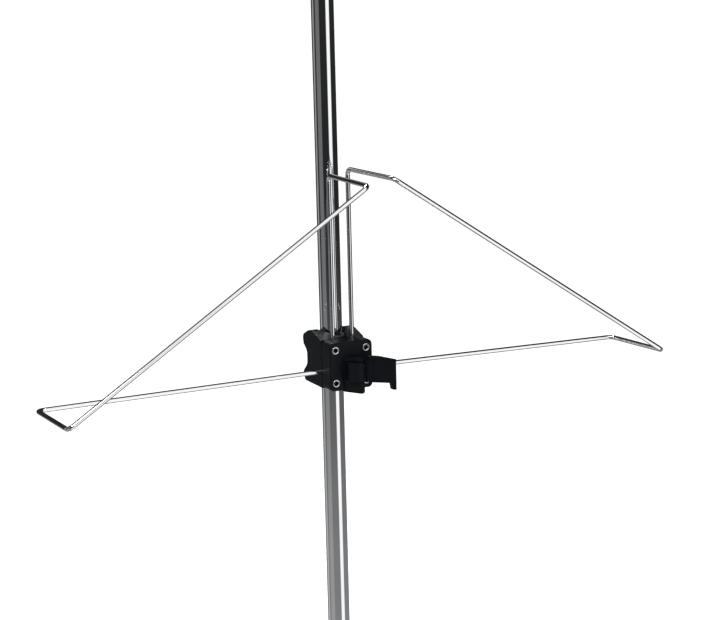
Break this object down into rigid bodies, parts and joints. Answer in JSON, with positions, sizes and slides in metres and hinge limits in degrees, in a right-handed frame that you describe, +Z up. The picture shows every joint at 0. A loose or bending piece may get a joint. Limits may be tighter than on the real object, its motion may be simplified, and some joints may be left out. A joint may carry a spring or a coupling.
{
  "type": "music stand",
  "caption": "Free-standing chromed column on a folding tripod, with a sliding, swivelling cam-lever clamp that carries a bent-wire frame on each side.",
  "frame": {"origin": "on the floor, on the column's axis", "axes": "+Z up along the column; -Y is the front, where the clamp's cover, screws and cam lever are; one leg points along +X"},
  "size_m": [0.7082, 0.5964, 1.4503],
  "materials": {
    "chrome_tube": "polished chrome plate on drawn steel tube",
    "chrome_wire": "polished chrome plate on bent steel wire",
    "black_plastic": "black moulded plastic, satin",
    "nylon": "dark grey nylon, satin",
    "cast_hub": "black powder coat on die casting",
    "zinc_steel": "bright zinc-plated steel",
    "rubber": "black rubber, matte"
  },
  "bodies": {
    "base": {"base_hub": "cast_hub", "tube_plug": "zinc_steel", "column_bolt": "zinc_steel", "lower_tube": "chrome_tube", "clutch_collar": "black_plastic", "clutch_bush": "nylon", "leg_pivot_1": "zinc_steel", "leg_pivot_2": "zinc_steel", "leg_pivot_3": "zinc_steel"},
    "leg_1": {"leg_tube_1": "chrome_tube", "leg_knuckle_1": "cast_hub", "foot_1": "rubber"},
    "leg_2": {"leg_tube_2": "chrome_tube", "leg_knuckle_2": "cast_hub", "foot_2": "rubber"},
    "leg_3": {"leg_tube_3": "chrome_tube", "leg_knuckle_3": "cast_hub", "foot_3": "rubber"},
    "knob": {"clutch_knob": "black_plastic", "clutch_stud": "zinc_steel"},
    "column": {"upper_tube": "chrome_tube", "top_cap": "black_plastic", "tube_foot_bush": "nylon"},
    "sleeve": {"sleeve_liner": "nylon"},
    "clamp": {"clamp_body": "black_plastic", "front_cover": "black_plastic", "clamp_screw_1": "zinc_steel", "clamp_screw_2": "zinc_steel", "clamp_screw_3": "zinc_steel", "clamp_screw_4": "zinc_steel", "clamp_nut_1": "zinc_steel", "clamp_nut_2": "zinc_steel", "clamp_nut_3": "zinc_steel", "clamp_nut_4": "zinc_steel", "wire_frame_left": "chrome_wire", "wire_frame_right": "chrome_wire", "lever_pin": "zinc_steel"},
    "lever": {"cam_lever": "black_plastic"},
    "pad": {"pressure_pad": "nylon"}
  },
  "joints": [
    {"name": "leg_fold_1", "type": "hinge", "parent": "base", "child": "leg_1", "pos_m": [0.042, 0, 0.08], "axis": [0, 1, 0], "range_deg": [0, 75]},
    {"name": "leg_fold_2", "type": "hinge", "parent": "base", "child": "leg_2", "pos_m": [-0.021, 0.03637, 0.08], "axis": [-0.866, -0.5, 0], "range_deg": [0, 75]},
    {"name": "leg_fold_3", "type": "hinge", "parent": "base", "child": "leg_3", "pos_m": [-0.021, -0.03637, 0.08], "axis": [0.866, -0.5, 0], "range_deg": [0, 75]},
    {"name": "knob_turn", "type": "hinge", "parent": "base", "child": "knob", "pos_m": [0.04, 0, 0.657], "axis": [1, 0, 0], "range_deg": [0, 360]},
    {"name": "column_slide", "type": "slide", "parent": "base", "child": "column", "axis": [0, 0, 1], "range_m": [-0.15, 0.25]},
    {"name": "clamp_slide", "type": "slide", "parent": "column", "child": "sleeve", "axis": [0, 0, 1], "range_m": [-0.1, 0.36]},
    {"name": "clamp_swivel", "type": "hinge", "parent": "sleeve", "child": "clamp", "pos_m": [0, 0, 1], "axis": [0, 0, 1], "continuous": true},
    {"name": "lever_open", "type": "hinge", "parent": "clamp", "child": "lever", "pos_m": [0.002, -0.062, 1], "axis": [0, 0, -1], "range_deg": [0, 100]},
    {"name": "pad_release", "type": "slide", "parent": "clamp", "child": "pad", "axis": [0, -1, 0], "range_m": [0, 0.0017]}
  ],
  "couplings": [
    {"joint": "pad_release", "follows": "lever_open", "m_per_rad": 0.00095493}
  ]
}
